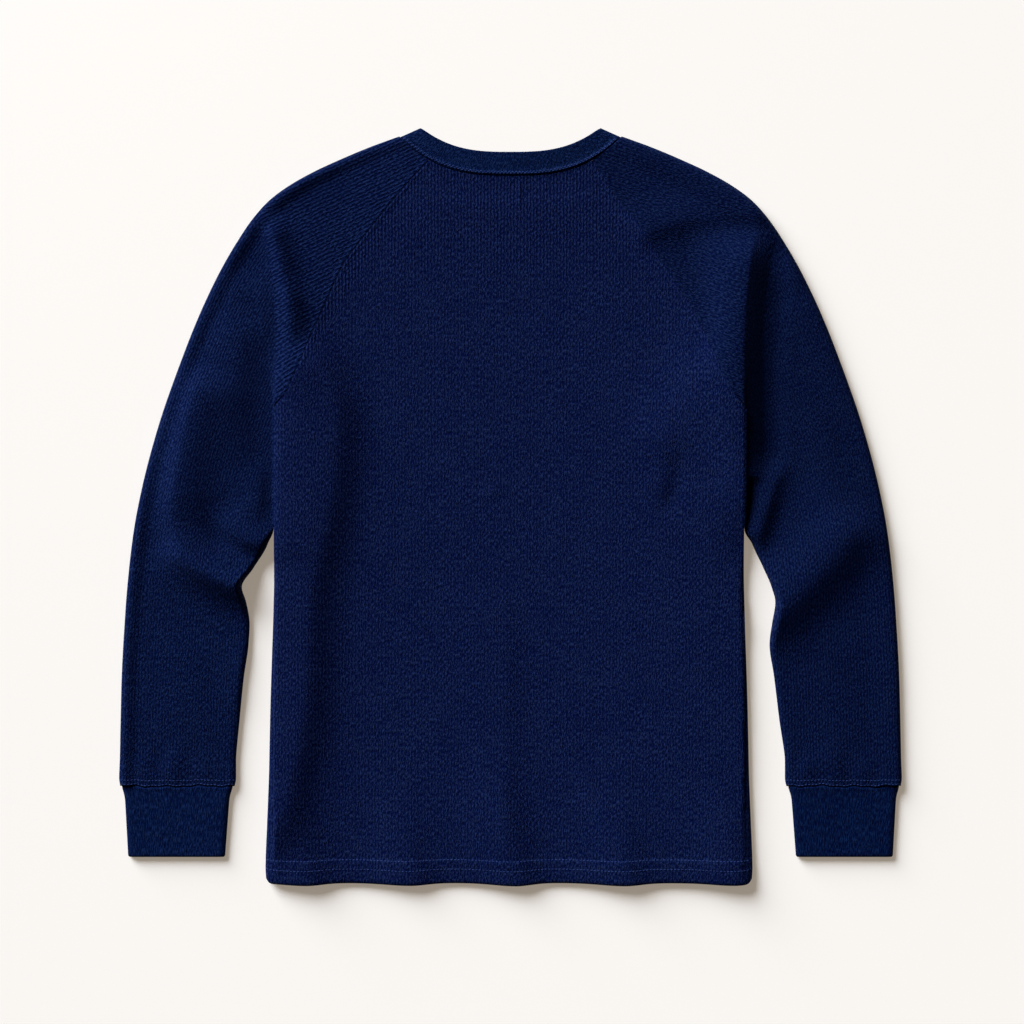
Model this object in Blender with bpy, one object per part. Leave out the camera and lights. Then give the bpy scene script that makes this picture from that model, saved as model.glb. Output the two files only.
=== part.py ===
"""A raglan thermal top, laid flat on its front with its back facing up.

Seven cut and sewn pieces, each a wall of cloth of its own: back and front panel, two sleeves that wrap
round from the back seam to the front seam, neckband and two cuffs. The tables are in millimetres and
the mesh in metres. +X runs across the top, +Y towards the neck and +Z up from the surface that it lies
on, with the origin in the middle of the space that it takes up there. The back faces up, so the
wearer's left is at -X.
"""

import math

import bmesh
import bpy
import numpy as np

MM = 0.001

# Cloth
KNIT_WALL = 1.6
BAND_WALL = 2.2
HEM_WALL = 2.4
SEAM_GAP = 0.3
SLANT_GAP = 0.5  # the same gap along X, where a seam runs at a slant
NECK_GAP = 0.6

# How the cloth lies: half the height of a folded edge, and how far in from it the top levels out
EDGE_HALF = 3.6
NECK_EDGE_HALF = 2.8
EDGE_ROLL = 7.0
FLAT_LEVEL = 4.9
LOWEST_LEVEL = 4.1
SIDE_SWELL = 2.2
SWELL_FROM, SWELL_TO = 140.0, 205.0

# Body
BODY_MIDDLE = -1.4
UNDERARM_Y = 91.0
HEM_Y = -353.0
HEM_DEPTH = 23.0
HEM_CORNER = 4.0

# Neckline: half width, then the lowest point and rise of the back edge, and the top and drop of the front
NECK_CURVE = 2.9
NECK_FREE = {"half": 84.0, "low": 333.3, "rise": 22.7, "top": 356.0, "drop": 75.0}
NECK_SEAM = {"half": 104.0, "low": 311.0, "rise": 36.0, "top": 347.0, "drop": 91.0}
FRONT_RAGLAN_X, FRONT_RAGLAN_BULGE = 87.0, 6.0

# Cuffs: distance from the middle of the top to the cuff's two folded edges, at its seam and its end
CUFF_SEAM_Y, CUFF_END_Y = -262.5, -328.5
CUFF_OUTER, CUFF_INNER = (362.6, 359.0), (263.0, 268.0)
CUFF_LEVEL, CUFF_EDGE_HALF = (7.0, 6.2), (3.3, 3.0)

# Sections: cells across a turned edge, and across the rest of each piece
TURN_CELLS = 3
SLEEVE_CELLS = {"top": 17, "bottom": 9}
BACK_CELLS, FRONT_CELLS = 30, 20
NECK_CELLS = {"top": 34, "bottom": 34}
CUFF_CELLS = 9


def table(columns, rows):
    """The rows as a dictionary of columns."""
    return {name: np.array(values, float) for name, values in zip(columns.split(), zip(*rows))}


# A row for each section of a sleeve, from the neck to the cuff: where it meets the back panel's raglan
# seam, and below the underarm the sleeve's inner fold; and where it meets the outer fold.
SLEEVE = table(
    "seam_y seam_left seam_right fold_x fold_y",
    (
        (324.65, 76.0, 76.0, 104.6, 346.4),
        (311.0, 89.5, 86.5, 131.0, 337.4),
        (290.0, 108.0, 99.5, 159.3, 326.0),
        (268.0, 126.0, 118.5, 185.0, 314.3),
        (248.0, 142.0, 132.0, 207.0, 302.0),
        (228.0, 156.5, 144.0, 226.0, 288.0),
        (207.0, 166.5, 158.0, 241.5, 271.0),
        (186.0, 175.5, 171.0, 256.5, 249.0),
        (165.0, 184.7, 181.0, 270.5, 225.0),
        (144.0, 193.5, 190.5, 284.5, 197.0),
        (122.0, 202.7, 201.0, 298.0, 166.0),
        (105.0, 211.5, 209.5, 309.0, 137.5),
        (UNDERARM_Y, 222.1, 219.3, 318.0, 113.0),
        (70.0, 222.3, 219.5, 326.5, 88.5),
        (45.0, 222.4, 219.6, 336.0, 57.0),
        (15.0, 222.5, 219.7, 345.0, 22.0),
        (-15.0, 223.0, 219.9, 352.5, -15.0),
        (-35.0, 228.0, 227.0, 355.8, -38.0),
        (-57.0, 241.0, 237.3, 358.3, -60.0),
        (-75.0, 252.2, 245.0, 360.0, -78.0),
        (-90.0, 248.0, 248.6, 361.2, -93.0),
        (-110.0, 244.9, 245.5, 362.4, -112.0),
        (-130.0, 246.0, 243.2, 363.6, -131.0),
        (-160.0, 250.3, 247.5, 365.0, -160.0),
        (-200.0, 254.3, 252.4, 366.0, -200.0),
        (-238.0, 257.6, 257.6, 366.8, -238.0),
        (-254.0, 257.6, 257.6, 367.4, -254.0),
        (CUFF_SEAM_Y + SEAM_GAP, 259.0, 259.0, 366.4, CUFF_SEAM_Y + SEAM_GAP),
    ),
)
UNDERARM_ROW = 12

# A row for each section of the body below the underarm: height of the row, and half of the width there
BODY = table(
    "y half",
    (
        (UNDERARM_Y, 220.0),
        (62.0, 220.0),
        (30.0, 220.0),
        (-5.0, 220.0),
        (-40.0, 220.0),
        (-75.0, 220.6),
        (-110.0, 221.5),
        (-145.0, 222.7),
        (-180.0, 223.8),
        (-215.0, 224.6),
        (-250.0, 225.3),
        (-280.0, 226.4),
        (-307.0, 227.5),
        (HEM_Y + HEM_DEPTH, 228.4),
        (HEM_Y + HEM_DEPTH - 2.0, 228.4),
        (HEM_Y + HEM_DEPTH / 2, 228.6),
        (HEM_Y, 228.0),
    ),
)
HEM_ROW = UNDERARM_ROW + 14

# A row for each large fold of the back and the sleeves: how high it stands (a trough is negative), how
# far it reaches to the left and to the right of its line, as one walks along it, and the line
FOLDS = (
    ("left side swell", 2.4, 28, 30, ((-192, 150), (-197, 20), (-206, -150), (-216, -330))),
    ("right side swell", 2.0, 30, 26, ((196, 150), (200, 20), (208, -150), (216, -330))),
    ("left armhole ridge", 4.2, 12, 7, ((-226, 268), (-214, 205), (-211, 140), (-212, 80), (-215, -10))),
    ("right armhole ridge", 5.6, 6, 22, ((228, 272), (213, 200), (209, 130), (207, 70), (211, -40))),
    ("left armhole valley", -3.0, 10, 14, ((-240, 262), (-232, 200), (-230, 140), (-232, 60), (-236, -10))),
    ("right armhole valley", -3.4, 16, 8, ((243, 262), (231, 195), (228, 135), (230, 60), (234, -20))),
    ("right yoke ridge", 2.4, 22, 11, ((212, 262), (204, 175), (172, 92), (138, 50))),
    ("right shoulder fold", 1.6, 12, 7, ((222, 290), (182, 279), (128, 268))),
    ("left shoulder groove", -1.5, 6, 6, ((-232, 274), (-250, 246), (-264, 216))),
    ("left upper arm", 2.6, 24, 18, ((-262, 205), (-277, 140), (-290, 40), (-294, -20))),
    ("right upper arm", 2.2, 24, 20, ((268, 205), (284, 130), (296, 40), (300, -10))),
    ("left elbow ridge", 4.0, 11, 20, ((-312, 62), (-309, -6), (-284, -54), (-244, -80))),
    ("left elbow valley", -2.2, 10, 10, ((-288, 24), (-280, -8), (-250, -48), (-238, -56))),
    ("right elbow ridge", 4.2, 18, 14, ((240, -84), (285, -52), (325, -24), (350, -14))),
    ("right elbow bump", 1.8, 16, 14, ((262, -8), (284, -16), (304, -26))),
    ("right armhole bump", 2.4, 10, 9, ((220, 26), (234, 8), (252, -8))),
    ("left forearm", 1.2, 30, 26, ((-306, -110), (-310, -180), (-312, -245))),
    ("right forearm", 1.2, 26, 30, ((306, -100), (308, -180), (310, -245))),
    ("left cuff puff", 1.4, 12, 12, ((-334, -226), (-322, -236), (-308, -238))),
    ("right cuff puff", 1.4, 12, 12, ((296, -226), (308, -236), (324, -230))),
)

# A row for each wave of the back hem: the place of its crest, its height, reach to either side, and how
# far up the back it runs before it has faded out
HEM_WAVES = table(
    "x height reach run",
    (
        (-191.0, 4.4, 26.0, 100.0),
        (-94.0, 3.6, 30.0, 90.0),
        (5.0, 4.6, 31.0, 110.0),
        (107.0, 3.8, 30.0, 90.0),
        (209.0, 4.0, 26.0, 100.0),
    ),
)
WAVE_HANG = 2.4


def column(values, row):
    """A table's column at a row number that may lie between two rows."""
    return np.interp(row, np.arange(len(values)), values)


def smooth(value):
    value = np.clip(value, 0.0, 1.0)
    return value * value * (3.0 - 2.0 * value)


def blend(a, b, share):
    return a + (b - a) * share


def roll(distance, radius):
    """How far a wall has risen at a distance from its folded edge, 0 to 1, along a quarter ellipse."""
    return np.sqrt(1.0 - (1.0 - np.clip(distance / radius, 0.0, 1.0)) ** 2)


def lay(place, length, turn, near, far, near_closed=1.0, far_closed=1.0):
    """The distance across a layer of this length at place 0 to 1.

    The first and last share, turn, of place goes round a folded edge in equal angles where that edge
    is closed, and in equal steps where it is open."""
    first = blend(turn * length, near, near_closed)
    last = blend(turn * length, far, far_closed)
    start = np.clip(place / turn, 0.0, 1.0)
    end = np.clip((1.0 - place) / turn, 0.0, 1.0)
    flat = np.clip((place - turn) / (1.0 - 2.0 * turn), 0.0, 1.0)
    up = first * blend(start, 1.0 - np.cos(start * math.pi / 2), near_closed)
    down = last * blend(end, 1.0 - np.cos(end * math.pi / 2), far_closed)
    return up + flat * (length - first - last) + last - down


def fold(x, y, height, left, right, line):
    """A soft ridge or trough along a line, fading out towards both of its ends."""
    lengths = [math.dist(a, b) for a, b in zip(line, line[1:])]
    nearest = np.full(np.shape(x), np.inf)
    relief = np.zeros(np.shape(x))
    walked = 0.0
    for (x0, y0), (x1, y1), length in zip(line, line[1:], lengths):
        ux, uy = (x1 - x0) / length, (y1 - y0) / length
        along = np.clip((x - x0) * ux + (y - y0) * uy, 0.0, length)
        dx, dy = x - x0 - along * ux, y - y0 - along * uy
        apart = np.hypot(dx, dy)
        reach = np.where(ux * dy - uy * dx > 0.0, left, right)
        share = (walked + along) / sum(lengths)
        fade = smooth(3.5 * np.minimum(share, 1.0 - share))
        relief = np.where(apart < nearest, height * fade * np.exp(-((apart / reach) ** 2)), relief)
        nearest = np.minimum(apart, nearest)
        walked += length
    return relief


def hem_wave(x, y):
    """How high the waves of the back hem lift it."""
    lift = np.zeros(np.shape(x))
    for crest, height, reach, run in zip(*HEM_WAVES.values()):
        above = smooth(1.0 - (y - HEM_Y) / run)
        lift = lift + height * above * np.exp(-(((x - crest) / reach) ** 2))
    return lift


def level(x, y):
    """The height of the top's upper surface over the place x, y, away from its folded edges."""
    height = FLAT_LEVEL + SIDE_SWELL * smooth((np.abs(x) - SWELL_FROM) / (SWELL_TO - SWELL_FROM))
    for _, rise, left, right, line in FOLDS:
        height = height + fold(x, y, rise, left, right, line)
    height = height + hem_wave(x, y)
    softness = 0.4
    return LOWEST_LEVEL + softness * np.logaddexp(0.0, (height - LOWEST_LEVEL) / softness)


def back_neck_y(x, edge, clear=0.0):
    """The back neckline at x, on the free edge or the seam, moved down from it by clear."""
    share = np.abs(x) / (edge["half"] + clear)
    return edge["low"] - clear + edge["rise"] * share**NECK_CURVE


def front_neck_y(x, edge, clear=0.0):
    """The front neckline at x: half an ellipse."""
    share = np.clip(np.abs(x) / (edge["half"] + clear), 0.0, 1.0)
    return edge["top"] - (edge["drop"] + clear) * np.sqrt(1.0 - share**2)


def front_neck_x(y, edge, clear=0.0):
    """How far the front neckline is from the middle at the height y."""
    share = np.clip((edge["top"] - y) / (edge["drop"] + clear), 0.0, 1.0)
    return (edge["half"] + clear) * np.sqrt(1.0 - share**2)


def seam_x(side, row):
    """The back raglan seam, and below the underarm the sleeve's inner fold, as a distance from X 0."""
    return column(SLEEVE["seam_left" if side < 0 else "seam_right"], row)


def front_raglan(side, row):
    """The front raglan seam at this row of the sleeve, as a distance out and a height."""
    share = np.clip(row / UNDERARM_ROW, 0.0, 1.0)
    end = column(SLEEVE["seam_left" if side < 0 else "seam_right"], float(UNDERARM_ROW))
    top = front_neck_y(FRONT_RAGLAN_X, NECK_SEAM, NECK_GAP)
    x = blend(FRONT_RAGLAN_X, end, share) + FRONT_RAGLAN_BULGE * np.sin(math.pi * share)
    return x, blend(top, UNDERARM_Y, share)


def place(x, y, z):
    return np.stack(np.broadcast_arrays(x, y, z), axis=-1)


def sleeve_end(side, row, upper, closed):
    """Where a sleeve's upper or lower layer ends at this row, and where it ends at the neck."""
    shift = (1.0 - closed) * SLANT_GAP / 2
    inner_x, inner_y = seam_x(side, row) + shift, column(SLEEVE["seam_y"], row)
    front_x, front_y = front_raglan(side, row)
    open_top = upper | (row >= UNDERARM_ROW)
    neck_x = np.where(upper, SLEEVE["seam_left"][0], FRONT_RAGLAN_X) + SLANT_GAP / 2
    neck_y = np.where(upper, SLEEVE["seam_y"][0], front_neck_y(neck_x, NECK_SEAM, NECK_GAP))
    end_x = np.where(open_top, inner_x, front_x + shift)
    return end_x, np.where(open_top, inner_y, front_y), neck_x, neck_y


def sleeve_point(side):
    """The outer face of a sleeve: across runs 0 to 1 over the top, from the back raglan seam to the outer
    fold, and 1 to 2 underneath, on to the front raglan seam."""

    def point(across, row):
        upper = across <= 1.0
        place_in = np.abs(1.0 - across)
        closed = np.clip(row - UNDERARM_ROW + 1, 0.0, 1.0)
        fold_x, fold_y = column(SLEEVE["fold_x"], row), column(SLEEVE["fold_y"], row)
        end_x, end_y, neck_x, neck_y = sleeve_end(side, row, upper, closed)
        width = np.hypot(fold_x - end_x, fold_y - end_y)
        half = blend(NECK_EDGE_HALF, EDGE_HALF, smooth(row / 5))
        turn = TURN_CELLS / np.where(upper, SLEEVE_CELLS["top"], SLEEVE_CELLS["bottom"])
        radius = np.where(upper, EDGE_ROLL, half)
        inward = lay(place_in, width, turn, radius, radius, 1.0, closed)
        share = inward / width
        near_neck = np.clip(1.0 - row / 4, 0.0, 1.0) ** 2
        straight_x = blend(SLEEVE["fold_x"][0], neck_x, share)
        straight_y = blend(SLEEVE["fold_y"][0], neck_y, share)
        bow_y = back_neck_y(straight_x, NECK_SEAM, NECK_GAP) - straight_y
        bow_x = front_neck_x(straight_y, NECK_SEAM, NECK_GAP) - straight_x
        x = blend(fold_x, end_x, share) + np.where(upper, 0.0, near_neck * bow_x)
        y = blend(fold_y, end_y, share) + np.where(upper, near_neck * bow_y, 0.0)
        risen = roll(inward, radius) * blend(1.0, roll(width - inward, radius), closed)
        parted = SEAM_GAP / 2 * place_in
        top_z = half + parted + (level(side * x, y) - half - parted) * risen
        z = np.where(upper, top_z, (half - parted) * (1.0 - risen))
        return place(side * x, y, z)

    return point


def panel_edge(side, row, underneath):
    """A panel's side edge at this row: a raglan seam, and from the underarm down the side seam."""
    if underneath:
        x, y = front_raglan(side, row)
        x = x - SLANT_GAP / 2
    else:
        x, y = seam_x(side, row) - SLANT_GAP / 2, column(SLEEVE["seam_y"], row)
    down = np.clip(row - UNDERARM_ROW, 0.0, None)
    below = row > UNDERARM_ROW - 1
    side_x = column(BODY["half"], down) + side * BODY_MIDDLE
    share = np.clip(row - UNDERARM_ROW + 1, 0.0, 1.0)
    before = float(UNDERARM_ROW - 1)
    if underneath:
        last_x, last_y = front_raglan(side, before)
    else:
        last_x, last_y = seam_x(side, before), column(SLEEVE["seam_y"], before)
    edge = np.where(below, blend(last_x - SLANT_GAP / 2, side_x, share), x)
    height = np.where(below, blend(last_y, column(BODY["y"], down), share), y)
    return side * edge, height


def panel_point(underneath):
    """The outer face of the back panel, or of the front panel underneath: across runs 0 to 1 from -X."""
    cells = FRONT_CELLS if underneath else BACK_CELLS
    neck_y = front_neck_y if underneath else back_neck_y
    fade_rows = 9.0 if underneath else 4.0

    def point(across, row):
        left, y = panel_edge(-1, row, underneath)
        right, _ = panel_edge(1, row, underneath)
        closed = np.clip(row - UNDERARM_ROW + 1, 0.0, 1.0)
        width = right - left
        turn = TURN_CELLS / cells
        radius = EDGE_HALF if underneath else EDGE_ROLL
        inward = lay(across, width, turn, radius, radius, closed, closed)
        x = left + inward
        first_left = panel_edge(-1, np.zeros_like(row), underneath)[0]
        first_right = panel_edge(1, np.zeros_like(row), underneath)[0]
        neck_x = blend(first_left, first_right, inward / width)
        near_neck = np.clip(1.0 - row / fade_rows, 0.0, 1.0) ** 1.6
        first_y = panel_edge(1, np.zeros_like(row), underneath)[1]
        y = y + near_neck * (neck_y(neck_x, NECK_SEAM, NECK_GAP) - first_y)
        low = smooth((HEM_Y + 60.0 - y) / 60.0)
        corner = HEM_CORNER * (1.0 - roll(np.minimum(inward, width - inward), 2 * HEM_CORNER))
        y = y + low * corner
        risen = blend(1.0, roll(inward, radius) * roll(width - inward, radius), closed)
        if underneath:
            return place(x, y, (EDGE_HALF - SEAM_GAP / 2) * (1.0 - risen))
        y = y - low * WAVE_HANG * hem_wave(x, y) / HEM_WAVES["height"].max()
        edge = EDGE_HALF + SEAM_GAP / 2
        hem = (HEM_WALL - KNIT_WALL) * smooth((row - HEM_ROW + 1) * 1.0)
        return place(x, y, edge + (level(x, y) + hem - edge) * risen)

    return point


def panel_wall(across, row):
    """A panel's wall, thicker where the hem is turned up."""
    return blend(KNIT_WALL, HEM_WALL, smooth(row - HEM_ROW + 1))


def neck_point(across, row):
    """The outer face of the neckband: across runs 0 to 1 along the back, from -X, and 1 to 2 along the
    front, back again; row runs 0 to 1 from the free edge to the seam."""
    edge = {key: blend(NECK_FREE[key], NECK_SEAM[key], row) for key in NECK_FREE}
    upper = across <= 1.0
    place_in = np.where(upper, across, across - 1.0)
    turn = TURN_CELLS / np.where(upper, NECK_CELLS["top"], NECK_CELLS["bottom"])
    length = np.where(upper, 2.4 * edge["half"], math.pi * edge["drop"])
    radius = np.where(upper, EDGE_ROLL, NECK_EDGE_HALF)
    inward = lay(place_in, length, turn, radius, radius)
    share = inward / length
    back_x = edge["half"] * (2.0 * share - 1.0)
    front_x = edge["half"] * np.cos(math.pi * share)
    x = np.where(upper, back_x, front_x)
    back_y = edge["low"] + edge["rise"] * np.abs(2.0 * share - 1.0) ** NECK_CURVE
    y = np.where(upper, back_y, edge["top"] - edge["drop"] * np.sin(math.pi * share))
    risen = roll(inward, radius) * roll(length - inward, radius)
    top_z = NECK_EDGE_HALF + (level(x, y) + 0.4 - NECK_EDGE_HALF) * risen
    return place(x, y, np.where(upper, top_z, NECK_EDGE_HALF * (1.0 - risen)))


def cuff_point(side):
    """The outer face of a cuff: across runs 0 to 1 over the top, from the outer to the inner fold, and 1
    to 2 back underneath; row runs 0 to 1 from the sleeve to the open end."""

    def point(across, row):
        upper = across <= 1.0
        place_in = np.where(upper, across, 2.0 - across)
        outer, inner = blend(*CUFF_OUTER, row), blend(*CUFF_INNER, row)
        half = blend(*CUFF_EDGE_HALF, row)
        radius = np.where(upper, EDGE_ROLL, half)
        width = outer - inner
        inward = lay(place_in, width, TURN_CELLS / CUFF_CELLS, radius, radius)
        risen = roll(inward, radius) * roll(width - inward, radius)
        top_z = half + (blend(*CUFF_LEVEL, row) - half) * risen
        z = np.where(upper, top_z, half * (1.0 - risen))
        return place(side * (outer - inward), blend(CUFF_SEAM_Y, CUFF_END_Y, row), z)

    return point


def steps(count, start=0.0, end=1.0):
    return np.linspace(start, end, count + 1)


def normals(point, across, row, period):
    """The unit normals of a face, from short steps to either side, up where across runs towards +X and
    row runs towards -Y on an upper face."""
    nudge = 1e-4
    before, after = across - nudge, across + nudge
    if period:
        before, after = before % period, after % period
    else:
        before, after = np.maximum(before, across.min()), np.minimum(after, across.max())
    up, down = np.maximum(row - nudge, row.min()), np.minimum(row + nudge, row.max())
    along = point(after, row) - point(before, row)
    along /= np.linalg.norm(along, axis=-1, keepdims=True)
    away = point(across, down) - point(across, up)
    away /= np.linalg.norm(away, axis=-1, keepdims=True)
    normal = np.cross(away, along)
    return normal / np.linalg.norm(normal, axis=-1, keepdims=True)


def shell(name, point, across, rows, wall, facing, period, material):
    """A wall of cloth as one closed solid. Both of its faces are worked out from one surface and that
    surface's own normals, so that two pieces which share a seam meet square there, with an even gap.
    A piece with a period closes on itself as a ring."""
    across, rows = np.meshgrid(across, rows)
    outer = point(across, rows)
    inner = outer - facing * np.asarray(wall)[..., None] * normals(point, across, rows, period)
    height, width = across.shape
    mesh = bmesh.new()
    layers = [[[mesh.verts.new(at * MM) for at in line] for line in face] for face in (outer, inner)]
    columns = width if period else width - 1
    for i in range(height - 1):
        for j in range(columns):
            k = (j + 1) % width
            corners = ((i, j), (i, k), (i + 1, k), (i + 1, j))
            slant = np.linalg.norm(outer[corners[0]] - outer[corners[2]])
            other = np.linalg.norm(outer[corners[1]] - outer[corners[3]])
            order = (0, 1, 2, 3) if slant <= other else (1, 2, 3, 0)
            a, b, c, d = (corners[n] for n in order)
            for face in layers:
                for ring in ((a, b, c), (a, c, d)):
                    mesh.faces.new([face[r][s] for r, s in ring])
    ends = [[(i, j) for j in (list(range(width)) + [0] * bool(period))] for i in (0, height - 1)]
    if not period:
        ends += [[(i, j) for i in range(height)] for j in (0, width - 1)]
    for line in ends:
        for (r0, s0), (r1, s1) in zip(line, line[1:]):
            mesh.faces.new(
                (layers[0][r0][s0], layers[0][r1][s1], layers[1][r1][s1], layers[1][r0][s0])
            )
    bmesh.ops.recalc_face_normals(mesh, faces=mesh.faces)
    data = bpy.data.meshes.new(name)
    mesh.to_mesh(data)
    mesh.free()
    data.materials.append(material)
    data.shade_smooth()
    made = bpy.data.objects.new(name, data)
    bpy.data.collections["thermal_top"].objects.link(made)
    return made


def cloth(name, colour, roughness):
    material = bpy.data.materials.new(name)
    material.use_nodes = True
    shader = material.node_tree.nodes["Principled BSDF"]
    shader.inputs["Base Color"].default_value = (*colour, 1.0)
    shader.inputs["Roughness"].default_value = roughness
    shader.inputs["Metallic"].default_value = 0.0
    return material


def build_panels():
    knit = cloth("waffle_knit", (0.006, 0.011, 0.075), 0.9)
    rows = steps(UNDERARM_ROW + len(BODY["y"]) - 1, 0.0, UNDERARM_ROW + len(BODY["y"]) - 1)
    for name, cells, underneath in (("back_panel", BACK_CELLS, False), ("front_panel", FRONT_CELLS, True)):
        wall = panel_wall(*np.meshgrid(steps(cells), rows))
        facing = -1 if underneath else 1
        shell(name, panel_point(underneath), steps(cells), rows, wall, facing, None, knit)


def build_sleeves():
    knit = cloth("sleeve_knit", (0.006, 0.011, 0.075), 0.9)
    last = len(SLEEVE["fold_x"]) - 1
    over = steps(SLEEVE_CELLS["top"])
    under = steps(SLEEVE_CELLS["bottom"], 1.0, 2.0)[1:]
    for name, side in (("sleeve_left", -1), ("sleeve_right", 1)):
        across = np.concatenate((over, under))
        shell(name, sleeve_point(side), across, steps(last, 0.0, last), KNIT_WALL, side, None, knit)


def build_neckband():
    jersey = cloth("neckband_jersey", (0.007, 0.014, 0.085), 0.85)
    over = steps(NECK_CELLS["top"])
    under = steps(NECK_CELLS["bottom"], 1.0, 2.0)[1:-1]
    shell("neckband", neck_point, np.concatenate((over, under)), steps(2), BAND_WALL, 1, 2.0, jersey)


def build_cuffs():
    jersey = cloth("cuff_jersey", (0.007, 0.014, 0.085), 0.85)
    over = steps(CUFF_CELLS)
    under = steps(CUFF_CELLS, 1.0, 2.0)[1:-1]
    for name, side in (("cuff_left", -1), ("cuff_right", 1)):
        across = np.concatenate((over, under))
        shell(name, cuff_point(side), across, steps(4), BAND_WALL, -side, 2.0, jersey)


def build():
    for thing in list(bpy.data.objects):
        bpy.data.objects.remove(thing)
    bpy.context.scene.collection.children.link(bpy.data.collections.new("thermal_top"))
    build_panels()
    build_sleeves()
    build_neckband()
    build_cuffs()


build()
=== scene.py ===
"""The looks of a raglan thermal top, laid flat on its front with its back facing up.

The tables and the way that the cloth lies repeat those of the top's solids, in millimetres and in the
same frame: +X across the top, +Y towards the neck, +Z up from the surface. Each cut and sewn piece is a
thin closed wall of cloth on its solid's form, with the creases, seams, stitches and knit on it.
"""

import math

import bpy
import numpy as np
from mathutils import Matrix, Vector


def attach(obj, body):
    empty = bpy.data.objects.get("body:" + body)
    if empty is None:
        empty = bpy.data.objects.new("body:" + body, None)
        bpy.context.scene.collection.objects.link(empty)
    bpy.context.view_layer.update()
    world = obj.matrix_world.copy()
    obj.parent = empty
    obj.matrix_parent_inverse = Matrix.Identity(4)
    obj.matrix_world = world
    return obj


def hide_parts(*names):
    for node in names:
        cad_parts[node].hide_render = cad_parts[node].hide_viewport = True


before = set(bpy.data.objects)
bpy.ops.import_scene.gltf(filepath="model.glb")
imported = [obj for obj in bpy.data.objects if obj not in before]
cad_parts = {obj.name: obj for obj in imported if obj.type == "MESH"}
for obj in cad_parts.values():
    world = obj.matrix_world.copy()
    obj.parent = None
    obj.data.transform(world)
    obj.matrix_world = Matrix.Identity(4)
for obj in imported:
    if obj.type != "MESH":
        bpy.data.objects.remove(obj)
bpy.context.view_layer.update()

MM = 0.001

# Cloth
KNIT_WALL = 1.6
BAND_WALL = 2.2
HEM_WALL = 2.4
SEAM_GAP = 0.3
SLANT_GAP = 0.1  # the same gap along X, where a seam runs at a slant
NECK_GAP = -0.15  # the neckband's edge reaches under its neighbours
WALE, ARM_WALE, YOKE_WALE = 3.1, 2.85, 3.35  # the pitch of the ribs on the body, the arms and the yokes
COURSE = 4.7  # the knit's pitch along its ribs

# How the ribs rise across a yoke, low and high on it; where and over how far that changes; the first slope
RIB_ANGLE = {"left": (35.0, 25.0), "right": (29.0, 18.0)}
RIB_TURN_FROM, RIB_TURN_OVER, RIB_SLOPE = 140.0, 240.0, 0.36

# How the cloth lies: half the height of a folded edge, and how far in from it the top levels out
EDGE_HALF = 3.6
NECK_EDGE_HALF = 2.8
EDGE_ROLL = 6.0
FLAT_LEVEL = 4.9
LOWEST_LEVEL, LEVEL_SOFTNESS = 4.1, 0.4
NECK_RAISED = 0.4  # how much higher the neckband stands
ROUNDED_SHARE = 0.46  # how far a rounded edge draws in, as a share of the wall

# How much higher the back and the sleeves stand at the sides, and from where to where they rise to that
SIDE_SWELL = 2.2
SWELL_FROM, SWELL_TO = {"left": 140.0, "right": 20.0}, 205.0

# How a seam lies: the ditch that it sinks into, the rows above the underarm where that ends and over which
# it fades, and the cloth that stands up beside it
DITCH_DEPTH, DITCH_REACH = 0.15, 0.9
DITCH_END, DITCH_FADE = 0.6, 1.6
PUFF_HEIGHT, PUFF_PLACE, PUFF_REACH = 0.45, 1.8, 1.2

# The ridge that the seam's edges make in the neckband beside it
NECK_RIDGE, NECK_RIDGE_PLACE, NECK_RIDGE_REACH = 0.9, 2.6, 1.5

# How much higher the left and the right sleeve stand along their outer fold, at the shoulder and down the
# arm, how far in that reaches, and the rows where it changes
RIM_SHOULDER, RIM_ARM = (3.3, 5.5), (2.4, 1.6)
RIM_AT_NECK = 0.3
RIM_FROM, RIM_TO = (4.5, 7.0), (17.0, 34.0)
RIM_ROW, RIM_ROWS = 4, (11, 6)

# Where the sleeves lie against the body below the underarm: the groove between them
GROOVE_DEPTH, GROOVE_ROLL, GROOVE_GAP = 0.8, 2.6, 0.1

# Where the body goes over into a sleeve: how far outside its side, over how far below the underarm and
# above it, and how far up that changes
PARTING_PLACE, PARTING_REACH, PARTING_RISE = 0.45, (0.2, 24.0), 60.0

# A fold fades out at its ends over this many times its mean reach, and at least this far. It lifts nothing
# beyond this many times its longer reach.
FOLD_FADE, LEAST_FADE, FOLD_RANGE = 1.4, 30.0, 2.6

# Body
BODY_MIDDLE = -1.4
UNDERARM_Y = 91.0
HEM_Y = -353.0
HEM_DEPTH = 23.0
HEM_CORNER = 4.0
HEM_ZONE = 60.0  # how far up the corners and the waves' hang reach

# Neckline: half width, then the lowest point and rise of the back edge, and the top and drop of the front
NECK_CURVE = 2.9
BACK_ARC = 2.4  # the neckband's length along the back, for each half width
NECK_FREE = {"half": 84.0, "low": 333.3, "rise": 22.7, "top": 356.0, "drop": 75.0}
NECK_SEAM = {"half": 104.0, "low": 311.0, "rise": 36.0, "top": 347.0, "drop": 91.0}
FRONT_RAGLAN_X, FRONT_RAGLAN_BULGE = 87.0, 6.0

# Cuffs: distance from the middle of the top to the cuff's two folded edges, at its seam and its end
CUFF_SEAM_Y, CUFF_END_Y = -262.5, -328.5
CUFF_OUTER, CUFF_INNER = (362.6, 359.0), (263.0, 268.0)
CUFF_LEVEL, CUFF_EDGE_HALF = (7.0, 6.2), (3.3, 3.0)
CUFF_FLARE, CUFF_FLARE_REACH = 2.2, 7.0  # how much wider a cuff is at its seam, on each side

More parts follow.
